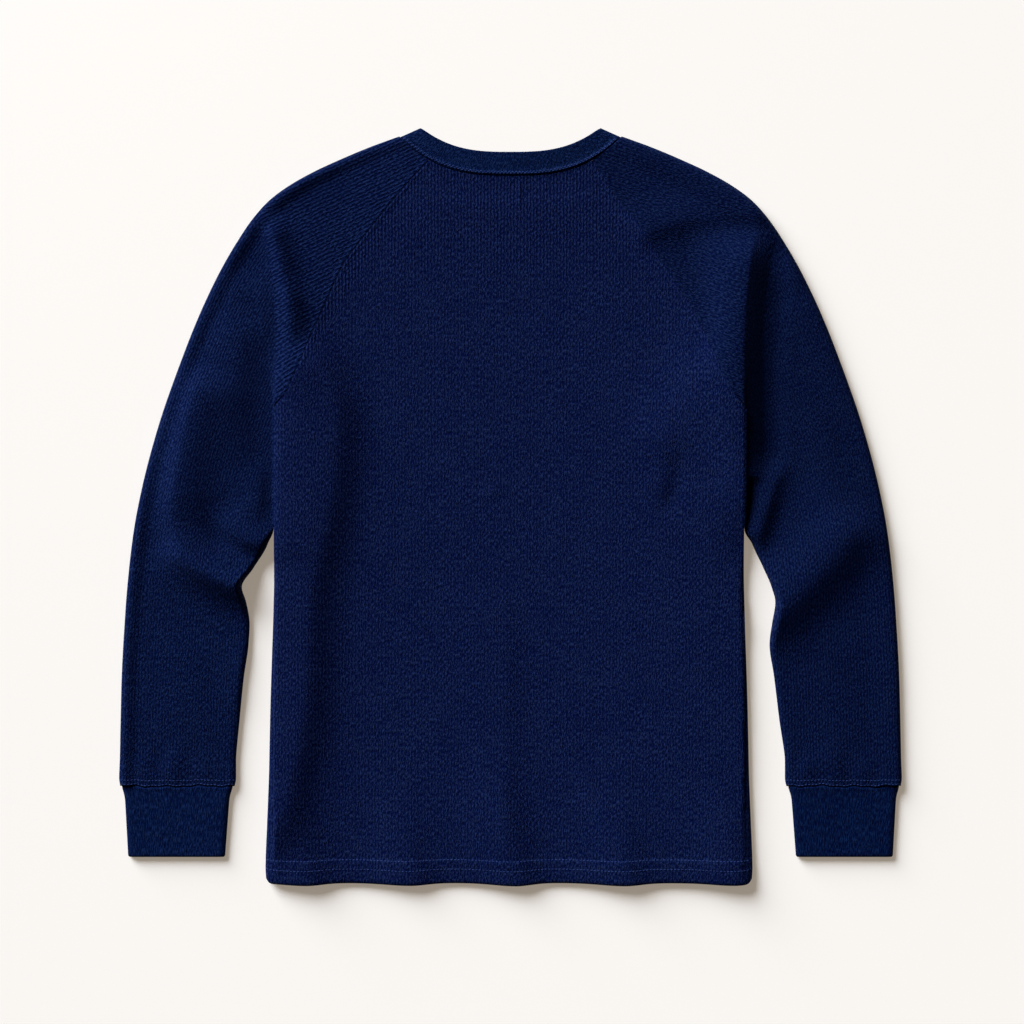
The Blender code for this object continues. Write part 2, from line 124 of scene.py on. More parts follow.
# The ruffles of the cuffs' seams: the height, the pitch over 2 pi and the start of each, and where they lie
RUFFLES = ((0.45, 2.3, 0.0), (0.6, 5.1, 1.0), (0.4, 11.7, 2.0))
RUFFLED_FROM, RUFFLE_REACH = 245.0, 7.0

# The light: a key from the upper left, the way that it comes from turned anticlockwise from -Y, and a fill
KEY_AZIMUTH, KEY_ELEVATION, KEY_SPREAD = -138.0, 22.5, 40.0
KEY_STRENGTH, FILL_STRENGTH = 7.25, 0.05
NEAR_PLACE, NEAR_SIZE, NEAR_STRENGTH = (-1.0, 1.5, 1.0), 0.5, 4.0
CAMERA_PLACE, CAMERA_LENS, CAMERA_SENSOR = (0.00141, -0.0048, 2.674), 100.0, 36.0
FLOOR_REACH = 60.0

# The knit's grain: how deep it is, how high its ribs and dashes are, how strong its loops are beside them,
# and how they colour it, with painted shade in the hollows and painted light on the loops
KNIT_DEPTH = 0.39
RIB_SHARE, DASH_SHARE = 0.42, 0.2
LOOP_SHARE, LEFT_LOOP_SHARE, BAND_SHARE, CUFF_SHARE = 4.6, 6.2, 5.8, 3.4
PAINTED_SHADE_SHARE, FLECK_SHARE, PATCH_SHARE = 1.15, 0.36, 0.5
TONE_MIDDLE, TONE_POWER = 0.42, 1.3
FLECK_SCALE, PATCH_SCALE, LOOP_SCALE, WANDER_SCALE = 500.0, 38.0, 3.5, 0.3
LOOP_STRETCH, RIB_WANDER = (1.0, 0.4, 1.0), (0.7, 1.6, 0.0)
BAND_STREAKS, CUFF_STREAKS = (80.0, 5.0), (34.0, 9.0)

# How clear the ribs are, in their bump and in the painted shade and light that follow it: low and high on the
# back, on the left yoke, on the right yoke near the middle and far out, and low and high on the arms, left
# and right
BACK_CLEAR, LEFT_YOKE_CLEAR, RIGHT_YOKE_CLEAR = (0.42, 1.05), 1.8, (0.7, 0.45)
LOW_ARM_CLEAR, HIGH_ARM_CLEAR = 0.78, (1.25, 0.5)

# Half of the back's width between the raglan seams, and the fold at the armhole, at heights given first
BACK_SPAN = (91.0, 324.0), (222.0, 76.0)
ARMHOLE = (60.0, 140.0, 205.0, 268.0, 300.0), (219.0, 219.5, 221.0, 231.0, 256.0)

CLOTH_SHADER = {"Roughness": 0.85, "Specular IOR Level": 0.02, "Sheen Weight": 0.02, "Sheen Roughness": 0.5}
CLOTH_SHADER["Sheen Tint"] = (0.25, 0.4, 1.0, 1.0)

# Each cloth: its colour in the painted shade of its hollows and in the painted light on its loops, how strong
# they are, and whether it is ribbed
CLOTHS = {
    "waffle_knit": ((0.0002, 0.0026, 0.032), (0.0084, 0.0178, 0.072), LOOP_SHARE, True),
    # The sleeves are a little darker than the back. The right sleeve and the right cuff are darker than the
    # left ones: painted shade where the light falls off towards the right.
    "waffle_knit_left": ((0.0001, 0.0028, 0.030), (0.0060, 0.0158, 0.066), LEFT_LOOP_SHARE, True),
    "waffle_knit_right": ((0.0001, 0.0023, 0.026), (0.0052, 0.0134, 0.055), LOOP_SHARE, True),
    "neckband_knit": ((0.0001, 0.0035, 0.03), (0.0054, 0.0172, 0.072), BAND_SHARE),
    "cuff_knit_left": ((0.0001, 0.0033, 0.03), (0.0048, 0.0158, 0.069), CUFF_SHARE),
    "cuff_knit_right": ((0.0001, 0.0025, 0.025), (0.0030, 0.0132, 0.060), CUFF_SHARE),
    "thread": ((0.008, 0.018, 0.08), (0.038, 0.068, 0.22), CUFF_SHARE),
}

# The stitches, all on the upper side, and where their lines lie: on the hem and the sleeves in rows of the
# tables, and on the neckband from its free edge at 0 to its seam at 1
STITCH_LENGTH, STITCH_PITCH, THREAD, THREAD_SUNK = 2.3, 3.3, 0.8, 0.08
HEM_STITCHES, END_STITCHES, NECK_STITCHES = (25.5, 26.84), (26.25, 26.8), (0.85, 0.91)
STITCHED_FROM, STITCHED_TO, LINE_SPANS = 0.012, 0.988, 400  # how much of the width a line takes up
STITCH_PLACES, STITCH_THICKNESS = (0.0, 0.18, 0.82, 1.0), (0.25, 1.0, 1.0, 0.25)
STITCH_ENDS = np.array(((3, 2, 1, 0), (0, 5, 4, 3), (18, 19, 20, 21), (21, 22, 23, 18)))

# Cells of each outer face; the inner face has one cell for every THIN of them
THIN = 3
TURN_CELLS = 9
SLEEVE_CELLS = {"top": 96, "bottom": 48}
SLEEVE_ROW = 1.9  # the length of a sleeve's cells, along its outer fold
BACK_CELLS, BACK_ROW = 243, 2.0
FRONT_CELLS, FRONT_ROW = 150, 3.4
NECK_CELLS = {"top": 240, "bottom": 180}
NECK_ROWS = 27
CUFF_CELLS, CUFF_ROWS = 60, 48


def table(columns, *rows):
    """The rows as a dictionary of columns."""
    return {name: np.array(values, float) for name, values in zip(columns.split(), zip(*rows))}


# A row for each section of a sleeve, from the neck to the cuff: where it meets the back panel's raglan
# seam, and below the underarm the sleeve's inner fold; and where it meets the outer fold.
SLEEVE = table(
    "seam_y seam_left seam_right fold_x fold_y",
    (324.65, 76, 76, 104.6, 346.4),
    (311, 89.5, 86.5, 131, 337.4),
    (290, 108, 99.5, 159.3, 326),
    (268, 126, 118.5, 185, 314.3),
    (248, 142, 132, 207, 302),
    (228, 156.5, 144, 226, 288),
    (207, 166.5, 158, 241.5, 271),
    (186, 175.5, 171, 256.5, 249),
    (165, 184.7, 181, 270.5, 225),
    (144, 193.5, 190.5, 284.5, 197),
    (122, 202.7, 201, 298, 166),
    (105, 211.5, 209.5, 309, 137.5),
    (UNDERARM_Y, 222.1, 219.3, 318, 113),
    (70, 222.3, 219.5, 326.5, 88.5),
    (45, 222.4, 219.6, 336, 57),
    (15, 222.5, 219.7, 345, 22),
    (-15, 223, 219.9, 352.5, -15),
    (-35, 228, 227, 355.8, -38),
    (-57, 241, 237.3, 358.3, -60),
    (-75, 252.2, 245, 360, -78),
    (-90, 248, 248.6, 361.2, -93),
    (-110, 244.9, 245.5, 362.4, -112),
    (-130, 246, 243.2, 363.6, -131),
    (-160, 250.3, 247.5, 365, -160),
    (-200, 254.3, 252.4, 366, -200),
    (-238, 257.6, 257.6, 366.8, -238),
    (-254, 257.6, 257.6, 367.4, -254),
    (CUFF_SEAM_Y + SEAM_GAP, 259, 259, 366.4, CUFF_SEAM_Y + SEAM_GAP),
)
UNDERARM_ROW = 12
APART_ROW = UNDERARM_ROW + 5  # where the sleeves have come away from the body

# A row for each section of the body below the underarm: height of the row, and half of the width there
BODY = table(
    "y half",
    (UNDERARM_Y, 220),
    (62, 220),
    (30, 220),
    (-5, 220),
    (-40, 220),
    (-75, 220.6),
    (-110, 221.5),
    (-145, 222.7),
    (-180, 223.8),
    (-215, 224.6),
    (-250, 225.3),
    (-280, 226.4),
    (-307, 227.5),
    (HEM_Y + HEM_DEPTH, 228.4),
    (HEM_Y + HEM_DEPTH - 2, 228.4),
    (HEM_Y + HEM_DEPTH / 2, 228.6),
    (HEM_Y, 228),
)
HEM_ROW = UNDERARM_ROW + 14

# A row for each large fold of the back and the sleeves: the part that it lies on, how high it stands (a
# trough is negative), how far it reaches to the left and to the right of its line, as one walks along it,
# and the line
FOLDS = (
    ("left side shelf", "body", 9.0, 22, 60,
     "-212,178 -200,158 -188,140 -174,116 -166,82 -172,6 -190,-80 -195,-181 -212,-270 -228,-312 -238,-350"),
    ("right side swell", "body", 2.4, 30, 90, "214,178 216,91 217,-60 219,-180 221,-300 222,-380"),
    ("left armhole ridge", "all", 8.0, 12, 8, "-232,280 -221,252 -212,212 -206,178 -201,148"),
    ("left underarm ridge", "body", 3.0, 26, 9, "-210,220 -208,160 -210,110 -213,60 -214,20 -216,-60"),
    ("left armhole valley", "arm", -1.5, 14, 18, "-250,250 -244,200 -240,140 -240,60 -242,-10"),
    ("right armhole valley", "arm", -3.0, 10, 14, "252,262 250,200 246,135 246,60 244,0"),
    ("right yoke ridge", "all", 5.6, 44, 32, "230,268 224,241 214,190 199,148 172,99 142,60 114,28"),
    ("right yoke hollow", "all", -2.0, 14, 12, "150,262 170,236 183,200 184,165 172,130"),
    ("right shoulder fold", "all", 3.4, 24, 12, "108,244 140,264 178,273 220,274 256,266"),
    ("left upper arm ridge", "arm", 4.2, 40, 20,
     "-244,236 -256,196 -269,150 -287,105 -301,63 -308,16 -308,-24"),
    ("left arm ridge", "arm", 9.5, 34, 14,
     "-284,138 -296,98 -304,62 -311,26 -314,-6 -309,-30 -297,-50 -276,-64 -250,-74 -214,-80"),
    ("left elbow swell", "arm", 4.0, 24, 22, "-246,190 -254,124 -253,60 -250,12 -244,-24 -236,-60"),
    ("left elbow inner fold", "arm", 4.6, 20, 10, "-278,4 -269,-14 -253,-27 -233,-36 -204,-42"),
    ("left elbow crease", "arm", -3.4, 10, 10, "-286,-2 -277,-22 -261,-37 -240,-46 -212,-52"),
    ("left elbow ridge", "arm", 7.0, 11, 19, "-330,-28 -308,-50 -282,-65 -256,-75 -222,-83"),
    ("left underarm bump", "arm", 3.0, 8, 16, "-238,50 -237,10 -242,-22"),
    ("left forearm edge", "arm", 1.6, 10, 14, "-250,-116 -251,-150 -255,-200"),
    ("right upper arm", "arm", 2.2, 24, 20, "268,205 284,130 296,40 300,-10"),
    ("right elbow ridge", "arm", 12.0, 27, 36, "346,2 332,-8 314,-28 290,-56 262,-84 239,-102 200,-124"),
    ("right underarm bump", "arm", 7.0, 10, 18, "256,52 248,30 240,4 232,-24 226,-48"),
    ("left forearm", "arm", 1.2, 30, 26, "-306,-110 -310,-180 -312,-245"),
    ("right forearm", "arm", 1.2, 26, 30, "306,-100 308,-180 310,-245"),
)

# Where the yoke and the body's right side lap over the sleeve: how high they stand, how far that reaches
# over the yoke and the back, how far and how steeply the cloth beside the line drops, how long the lap
# takes to rise, to end and to fade out, and the line
LAP_STEEPNESS = 1.25
LAP_HEIGHT, LAP_REACH, LAP_DROP = 10.5, 36.0, 20.0
LAP_START, LAP_END, LAP_TAIL = 40.0, 10.0, 78.0
LAP_LINE = "232,268 228,248 224,228 220,194 217.8,148 218.9,91 219.1,40 219.2,-10 219.3,-58"

# The smaller creases, in the same columns
CREASES = (
    ("middle swell", "body", 1.5, 13, 60, "-12,-60 -7,-120 -6,-200 -10,-280 -8,-350"),
    ("small of the back", "body", 0.6, 5, 5, "-32,8 -18,14 -4,20"),
    ("small of the back 2", "body", -0.4, 6, 6, "-30,-2 -12,4 8,12"),
    ("below the yoke", "body", 1.5, 9, 12, "124,44 140,24 146,-6"),
    ("below the yoke 2", "body", -1.6, 10, 9, "152,66 158,40 152,10 140,-14"),
    ("below the neck", "body", 0.9, 9, 30, "-104,287 -60,283 0,282 56,284 90,288"),
    ("middle tuck", "body", 1.0, 1.6, 1.8, "8,312 8.4,296 8,276"),
)

# The puckers at the cuffs' seams, that run over from the sleeve to the cuff
PUCKERS = (
    ("left, outer", "arm", 1.3, 9, 8, "-346,-222 -343,-244 -340,-270"),
    ("left, middle", "arm", 2.0, 12, 8, "-306,-214 -317,-242 -324,-272"),
    ("left, inner", "arm", 1.2, 8, 12, "-296,-226 -287,-246 -282,-268"),
    ("right, inner", "arm", 1.5, 10, 7, "286,-224 277,-246 273,-272"),
    ("right, middle", "arm", 2.2, 9, 15, "294,-212 304,-242 312,-274"),
    ("right, outer", "arm", 1.2, 7, 11, "340,-228 333,-246 328,-268"),
)

# The shallow creases of the hidden underside, in the same columns from the height on
UNDERSIDE = (
    (0.7, 9, 12, "-214,196 -190,150 -176,96 -170,40"),
    (0.6, 11, 8, "216,188 192,140 182,92 184,30"),
    (0.6, 16, 10, "20,150 8,40 16,-80 4,-220"),
    (0.5, 10, 14, "-150,-40 -120,-120 -132,-210 -118,-300"),
    (0.7, 12, 9, "150,10 128,-90 140,-180 126,-300"),
    (0.7, 8, 12, "-340,-20 -300,-56 -262,-78"),
    (0.5, 7, 9, "-330,30 -296,4 -250,-20"),
    (0.7, 12, 8, "338,-16 298,-58 262,-84"),
    (0.5, 9, 7, "330,40 292,10 248,-10"),
)

# A row for each wave of the back hem: the place of its crest, its height, reach to either side, and how
# far up the back it runs before it has faded out
HEM_WAVES = table(
    "x height reach run",
    (-191, 5, 26, 110),
    (-94, 5.2, 28, 120),
    (5, 6, 26, 160),
    (107, 5.6, 28, 130),
    (209, 4.6, 24, 110),
)
WAVE_HANG, WAVE_LEAN = 2.4, 0.15
WAVE_SIDES = (0.75, 1.15)  # a wave drops faster on its right than it rises on its left


def column(values, row):
    """A table's column at a row number that may lie between two rows, on a curve that keeps between them."""
    step = np.diff(values)
    before, after = step[:-1], step[1:]
    turns = before * after <= 0.0
    between = 2.0 * before * after / np.where(turns, 1.0, before + after)
    slope = np.concatenate(([step[0]], between, [step[-1]]))
    slope[1:-1][turns] = 0.0
    first = np.clip(np.floor(row).astype(int), 0, len(values) - 2)
    t = unit(row - first)
    ahead = t * t * (3.0 - 2.0 * t)
    leaving, arriving = t * (1.0 - t) ** 2, t * t * (t - 1.0)
    return values[first] + step[first] * ahead + slope[first] * leaving + slope[first + 1] * arriving


def unit(value):
    return np.clip(value, 0.0, 1.0)


def bell(distance, reach):
    """How much is left of a soft rise at a distance from its middle."""
    return np.exp(-((distance / reach) ** 2))


def smooth(value):
    value = unit(value)
    return value * value * (3.0 - 2.0 * value)


def blend(a, b, share):
    return a + (b - a) * share


def roll(distance, radius):
    """How far a wall has risen at a distance from its folded edge, 0 to 1, along a quarter ellipse."""
    return np.sqrt(1.0 - (1.0 - unit(distance / radius)) ** 2)


def lay(place, length, turn, near, far, near_closed=1.0, far_closed=1.0):
    """The distance across a layer of this length at place 0 to 1, with the places close together at both
    ends: round a folded edge where that edge is closed, and along the seam where it is open."""
    first = blend(turn * length, near, near_closed)
    last = blend(turn * length, far, far_closed)
    start = unit(place / turn)
    end = unit((1.0 - place) / turn)
    flat = unit((place - turn) / (1.0 - 2.0 * turn))
    up = first * (1.0 - np.cos(start * math.pi / 2))
    down = last * (1.0 - np.cos(end * math.pi / 2))
    return up + flat * (length - first - last) + last - down


def curve(line, spans=6):
    """A smooth line through the points, written as x,y x,y, in short spans."""
    points = np.array([point.split(",") for point in line.split()], float)
    rows = np.linspace(0.0, len(points) - 1.0, spans * (len(points) - 1) + 1)
    padded = np.vstack((2 * points[0] - points[1], points, 2 * points[-1] - points[-2]))
    first = np.minimum(rows.astype(int), len(points) - 2)
    t = (rows - first)[:, None]
    a, b, c, d = (padded[first + n] for n in range(4))
    return 0.5 * (2 * b + (c - a) * t + (2 * a - 5 * b + 4 * c - d) * t**2 + (3 * b - a - 3 * c + d) * t**3)


def beside_line(x, y, line):
    """For places near a line: how far they are from it, whether to the left of it as one walks along it,
    how far one has then walked, and the line's length."""
    nearest = np.full(x.shape, np.inf)
    side, walked = np.zeros(x.shape), np.zeros(x.shape)
    lengths = np.hypot(*np.diff(line, axis=0).T)
    start = 0.0
    for (x0, y0), (x1, y1), length in zip(line, line[1:], lengths):
        ux, uy = (x1 - x0) / length, (y1 - y0) / length
        along = np.clip((x - x0) * ux + (y - y0) * uy, 0.0, length)
        dx, dy = x - x0 - along * ux, y - y0 - along * uy
        apart = np.hypot(dx, dy)
        closer = apart < nearest
        nearest = np.where(closer, apart, nearest)
        side = np.where(closer, ux * dy - uy * dx, side)
        walked = np.where(closer, start + along, walked)
        start += length
    return nearest, side > 0.0, walked, start


def within(x, y, line, margin):
    """Which places are near enough to a line to be lifted by it."""
    low, high = line.min(axis=0) - margin, line.max(axis=0) + margin
    return (x > low[0]) & (x < high[0]) & (y > low[1]) & (y < high[1])


def fold(x, y, height, left, right, line):
    """A soft ridge or trough along a line, fading out towards both of its ends."""
    line = curve(line)
    near = within(x, y, line, FOLD_RANGE * max(left, right))
    relief = np.zeros(np.shape(x))
    if near.any():
        distance, on_left, walked, length = beside_line(x[near], y[near], line)
        fade = min(max(FOLD_FADE * (left + right) / 2, LEAST_FADE), length / 2)
        ends = smooth(np.minimum(walked, length - walked) / fade)
        relief[near] = height * ends * bell(distance, np.where(on_left, left, right))
    return relief


def lap(x, y):
    """The yoke and the body's right side, that stand up and then drop to the sleeve beside them."""
    line = curve(LAP_LINE)
    near = within(x, y, line, FOLD_RANGE * LAP_REACH)
    relief = np.zeros(np.shape(x))
    if near.any():
        distance, dropping, walked, length = beside_line(x[near], y[near], line)
        drop = np.clip(1.0 - distance / LAP_DROP, 0.0, None) ** LAP_STEEPNESS
        drop = drop * smooth((length - LAP_TAIL - walked) / LAP_END)
        gentle = bell(distance, LAP_REACH) * smooth((length - walked) / LAP_TAIL)
        relief[near] = LAP_HEIGHT * smooth(walked / LAP_START) * np.where(dropping, drop, gentle)
    return relief


def hem_wave(x, y):
    """How high the waves of the back hem lift it."""
    lift = np.zeros(np.shape(x))
    for crest, height, reach, run in zip(*HEM_WAVES.values()):
        above = smooth(1.0 - (y - HEM_Y) / run)
        beyond = x - crest + WAVE_LEAN * (y - HEM_Y)
        reach = reach * np.where(beyond > 0.0, *WAVE_SIDES)
        lift = lift + height * above * bell(beyond, reach)
    return lift


def on_body(x, y):
    """Whether a place is on the body rather than a sleeve, 0 to 1: they part at the underarm, and above it
    the one goes over into the other."""
    above = smooth((y - UNDERARM_Y) / PARTING_RISE)
    inside = BODY["half"][0] + PARTING_PLACE - np.abs(x - BODY_MIDDLE)
    return smooth(0.5 + inside / blend(*PARTING_REACH, above))


def level(x, y):
    """The height of the top's upper surface over the place x, y, away from its folded edges."""
    x, y = np.broadcast_arrays(x, y)
    start = np.where(x < 0.0, SWELL_FROM["left"], SWELL_FROM["right"])
    height = FLAT_LEVEL + SIDE_SWELL * smooth((np.abs(x) - start) / (SWELL_TO - start))
    body = on_body(x, y)
    share = {"body": body, "arm": 1.0 - body, "all": 1.0}
    for _, part, rise, left, right, line in FOLDS + CREASES + PUCKERS:
        height = height + share[part] * fold(x, y, rise, left, right, line)
    height = height + hem_wave(x, y) + lap(x, y)
    return LOWEST_LEVEL + LEVEL_SOFTNESS * np.logaddexp(0.0, (height - LOWEST_LEVEL) / LEVEL_SOFTNESS)


def under_level(x, y):
    """How far the underside's creases lift it from the surface."""
    return sum(fold(x, y, *crease) for crease in UNDERSIDE)


def seam_relief(distance):
    """How far cloth sinks or stands at a distance from an open seam."""
    puff = PUFF_HEIGHT * bell(distance - PUFF_PLACE, PUFF_REACH)
    return puff - DITCH_DEPTH * bell(distance, DITCH_REACH)


def back_neck_y(x, edge, clear=0.0):
    """The back neckline at x, on the free edge or the seam, moved down from it by clear."""
    share = np.abs(x) / (edge["half"] + clear)
    return edge["low"] - clear + edge["rise"] * share**NECK_CURVE


def front_neck_y(x, edge, clear=0.0):
    """The front neckline at x: half an ellipse."""
    share = unit(np.abs(x) / (edge["half"] + clear))
    return edge["top"] - (edge["drop"] + clear) * np.sqrt(1.0 - share**2)


def front_neck_x(y, edge, clear=0.0):
    """How far the front neckline is from the middle at the height y."""
    share = unit((edge["top"] - y) / (edge["drop"] + clear))
    return (edge["half"] + clear) * np.sqrt(1.0 - share**2)


def seam_x(side, row):
    """The back raglan seam, and below the underarm the sleeve's inner fold, as a distance from X 0."""
    return column(SLEEVE["seam_left" if side < 0 else "seam_right"], row)


def body_x(side, row):
    """The body's side edge at this row, as a distance from X 0, up to the underarm on the raglan seam."""
    start = np.array(float(UNDERARM_ROW))
    last_step = joined(row)
    away = BODY["half"][0] + side * BODY_MIDDLE - seam_x(side, start) + SLANT_GAP / 2
    side_x = column(BODY["half"], np.clip(row - UNDERARM_ROW, 0.0, None)) + side * BODY_MIDDLE
    return np.where(row > UNDERARM_ROW, side_x, seam_x(side, row) - SLANT_GAP / 2 + last_step * away)


def front_raglan(side, row):
    """The front raglan seam at this row of the sleeve, as a distance out and a height."""
    share = unit(row / UNDERARM_ROW)
    end = seam_x(side, np.array(float(UNDERARM_ROW)))
    top = front_neck_y(FRONT_RAGLAN_X, NECK_SEAM, NECK_GAP)
    x = blend(FRONT_RAGLAN_X, end, share) + FRONT_RAGLAN_BULGE * np.sin(math.pi * share)
    return x, blend(top, UNDERARM_Y, share)


def joined(row):
    """How far a row has come on the last step to the underarm, 0 to 1."""
    return unit(row - UNDERARM_ROW + 1)


def seam_left(row):
    """How much of a raglan seam's ditch there is at this row; it is gone at the underarm."""
    return smooth((UNDERARM_ROW - row - DITCH_END) / DITCH_FADE)


def touching(row):
    """Whether a sleeve lies against the body at this row, 0 to 1."""
    return smooth(row - UNDERARM_ROW + 2) * smooth(APART_ROW - row)


def side_edge(x, y, row):
    """How high the folded edges of the body and a sleeve stand beside each other."""
    return blend(EDGE_HALF, level(x, y) - GROOVE_DEPTH, touching(row))


def place(x, y, z):
    """The points at x, y, z, a little ruffled along the cuffs' seams."""
    ruffle = sum(height * np.sin(np.abs(x) / pitch + start) for height, pitch, start in RUFFLES)
    near = np.where(np.abs(x) > RUFFLED_FROM, bell(y - CUFF_SEAM_Y, RUFFLE_REACH), 0.0)
    return np.stack(np.broadcast_arrays(x, y + near * ruffle, z), axis=-1)


def sleeve_end(side, row, upper, closed):
    """Where a sleeve's upper or lower layer ends at this row, and where it ends at the neck."""
    shift = (1.0 - closed) * SLANT_GAP / 2
    inner_x = blend(seam_x(side, row) + shift, body_x(side, row) + GROOVE_GAP, touching(row))
    inner_y = column(SLEEVE["seam_y"], row)
    front_x, front_y = front_raglan(side, row)
    open_top = upper | (row >= UNDERARM_ROW)
    neck_x = np.where(upper, SLEEVE["seam_left"][0], FRONT_RAGLAN_X) + SLANT_GAP / 2
    neck_y = np.where(upper, SLEEVE["seam_y"][0], front_neck_y(neck_x, NECK_SEAM, NECK_GAP))
    end_x = np.where(open_top, inner_x, front_x + shift)
    return end_x, np.where(open_top, inner_y, front_y), neck_x, neck_y


def sleeve_face(side, across, row):
    """The outer face of a sleeve: across runs 0 to 1 over the top, from the back raglan seam to the outer
    fold, and 1 to 2 underneath, on to the front raglan seam. Also the distance in from the fold."""
    upper = across <= 1.0
    place_in = np.abs(1.0 - across)
    closed = joined(row)
    fold_x, fold_y = column(SLEEVE["fold_x"], row), column(SLEEVE["fold_y"], row)
    end_x, end_y, neck_x, neck_y = sleeve_end(side, row, upper, closed)
    width = np.hypot(fold_x - end_x, fold_y - end_y)
    half = blend(NECK_EDGE_HALF, EDGE_HALF, smooth(row / 5))
    turn = TURN_CELLS / np.where(upper, SLEEVE_CELLS["top"], SLEEVE_CELLS["bottom"])
    radius = np.where(upper, EDGE_ROLL, half)
    inward = lay(place_in, width, turn, radius, radius, 1.0, closed)
    share = inward / width
    near_neck = unit(1.0 - row / 4) ** 2
    straight_x = blend(SLEEVE["fold_x"][0], neck_x, share)
    straight_y = blend(SLEEVE["fold_y"][0], neck_y, share)
    bow_y = back_neck_y(straight_x, NECK_SEAM, NECK_GAP) - straight_y
    bow_x = front_neck_x(straight_y, NECK_SEAM, NECK_GAP) - straight_x
    x = blend(fold_x, end_x, share) + np.where(upper, 0.0, near_neck * bow_x)
    y = blend(fold_y, end_y, share) + np.where(upper, near_neck * bow_y, 0.0)
    inner_radius = np.where(upper, blend(radius, GROOVE_ROLL, touching(row)), half)
    risen = roll(inward, radius) * blend(1.0, roll(width - inward, inner_radius), closed)
    edge = blend(half, side_edge(side * end_x, end_y, row), share * closed)
    parted = SEAM_GAP / 2 * place_in
    beside = seam_left(row) * seam_relief(width - inward)
    which = 0 if side < 0 else 1
    rim = smooth((RIM_TO[which] - inward) / (RIM_TO[which] - RIM_FROM[which]))
    rim = rim * blend(RIM_SHOULDER[which], RIM_ARM[which], smooth((row - RIM_ROW) / RIM_ROWS[which]))
    rim = rim * blend(RIM_AT_NECK, 1.0, smooth(row / 4))
    beside = beside + rim
    top_z = edge + parted + (level(side * x, y) + beside - edge - parted) * risen
    z = np.where(upper, top_z, edge - parted + (under_level(side * x, y) - edge + parted) * risen)
    return place(side * x, y, z), inward


def panel_edge(side, row, underneath):
    """A panel's side edge at this row: a raglan seam, and from the underarm down the side seam."""
    down = np.clip(row - UNDERARM_ROW, 0.0, None)
    below = row > UNDERARM_ROW
    body = body_x(side, row)
    if underneath:
        x, y = front_raglan(side, row)
        last_step = joined(row)
        seam = x - SLANT_GAP / 2 + last_step * (body - x + SLANT_GAP / 2)
        edge = np.where(below, body, seam)
    else:
        y = column(SLEEVE["seam_y"], row)
        edge = body
    return side * edge, np.where(below, column(BODY["y"], down), y)


def panel_face(underneath, across, row):
    """The outer face of the back panel, or of the front panel underneath: across runs 0 to 1 from -X."""
    cells = FRONT_CELLS if underneath else BACK_CELLS
    neck_y = front_neck_y if underneath else back_neck_y
    fade_rows = 9.0 if underneath else 4.0
    left, y = panel_edge(-1, row, underneath)
    right, _ = panel_edge(1, row, underneath)
    closed = joined(row)
    width = right - left
    turn = TURN_CELLS / cells
    radius = EDGE_HALF if underneath else blend(EDGE_ROLL, GROOVE_ROLL, touching(row))
    inward = lay(across, width, turn, radius, radius, closed, closed)
    x = left + inward
    first_left, _ = panel_edge(-1, np.zeros_like(row), underneath)
    first_right, first_y = panel_edge(1, np.zeros_like(row), underneath)
    neck_x = blend(first_left, first_right, inward / width)
    near_neck = unit(1.0 - row / fade_rows) ** 1.6
    y = y + near_neck * (neck_y(neck_x, NECK_SEAM, NECK_GAP) - first_y)
    low = smooth((HEM_Y + HEM_ZONE - y) / HEM_ZONE)
    corner = HEM_CORNER * (1.0 - roll(np.minimum(inward, width - inward), 2 * HEM_CORNER))
    y = y + low * corner
    risen = blend(1.0, roll(inward, radius) * roll(width - inward, radius), closed)
    edge = np.where(inward < width / 2, side_edge(left, y, row), side_edge(right, y, row))
    if underneath:
        edge = edge - SEAM_GAP / 2
        return place(x, y, edge + (under_level(x, y) - edge) * risen)
    y = y - low * WAVE_HANG * hem_wave(x, y) / HEM_WAVES["height"].max()
    edge = edge + SEAM_GAP / 2
    hem = (HEM_WALL - KNIT_WALL) * smooth(row - HEM_ROW + 1)
    beside = seam_left(row) * seam_relief(np.minimum(inward, width - inward))
    return place(x, y, edge + (level(x, y) + beside + hem - edge) * risen)


def neck_face(across, row):
    """The outer face of the neckband: across runs 0 to 1 along the back, from -X, and 1 to 2 along the
    front, back again; row runs 0 to 1 from the free edge to the seam."""
    edge = {key: blend(NECK_FREE[key], NECK_SEAM[key], row) for key in NECK_FREE}
    upper = across <= 1.0
    place_in = np.where(upper, across, across - 1.0)
    turn = TURN_CELLS / np.where(upper, NECK_CELLS["top"], NECK_CELLS["bottom"])
    length = np.where(upper, BACK_ARC * edge["half"], math.pi * edge["drop"])
    radius = np.where(upper, EDGE_ROLL, NECK_EDGE_HALF)
    inward = lay(place_in, length, turn, radius, radius)
    share = inward / length
    back_x = edge["half"] * (2.0 * share - 1.0)
    front_x = edge["half"] * np.cos(math.pi * share)
    x = np.where(upper, back_x, front_x)
    back_y = edge["low"] + edge["rise"] * np.abs(2.0 * share - 1.0) ** NECK_CURVE
    y = np.where(upper, back_y, edge["top"] - edge["drop"] * np.sin(math.pi * share))
    risen = roll(inward, radius) * roll(length - inward, radius)
    from_seam = (1.0 - row) * (NECK_FREE["low"] - NECK_SEAM["low"])
    ridge = NECK_RIDGE * bell(from_seam - NECK_RIDGE_PLACE, NECK_RIDGE_REACH)
    ridge = ridge + seam_relief(from_seam)
    top_z = NECK_EDGE_HALF + (level(x, y) + NECK_RAISED + ridge - NECK_EDGE_HALF) * risen
    return place(x, y, np.where(upper, top_z, NECK_EDGE_HALF * (1.0 - risen)))


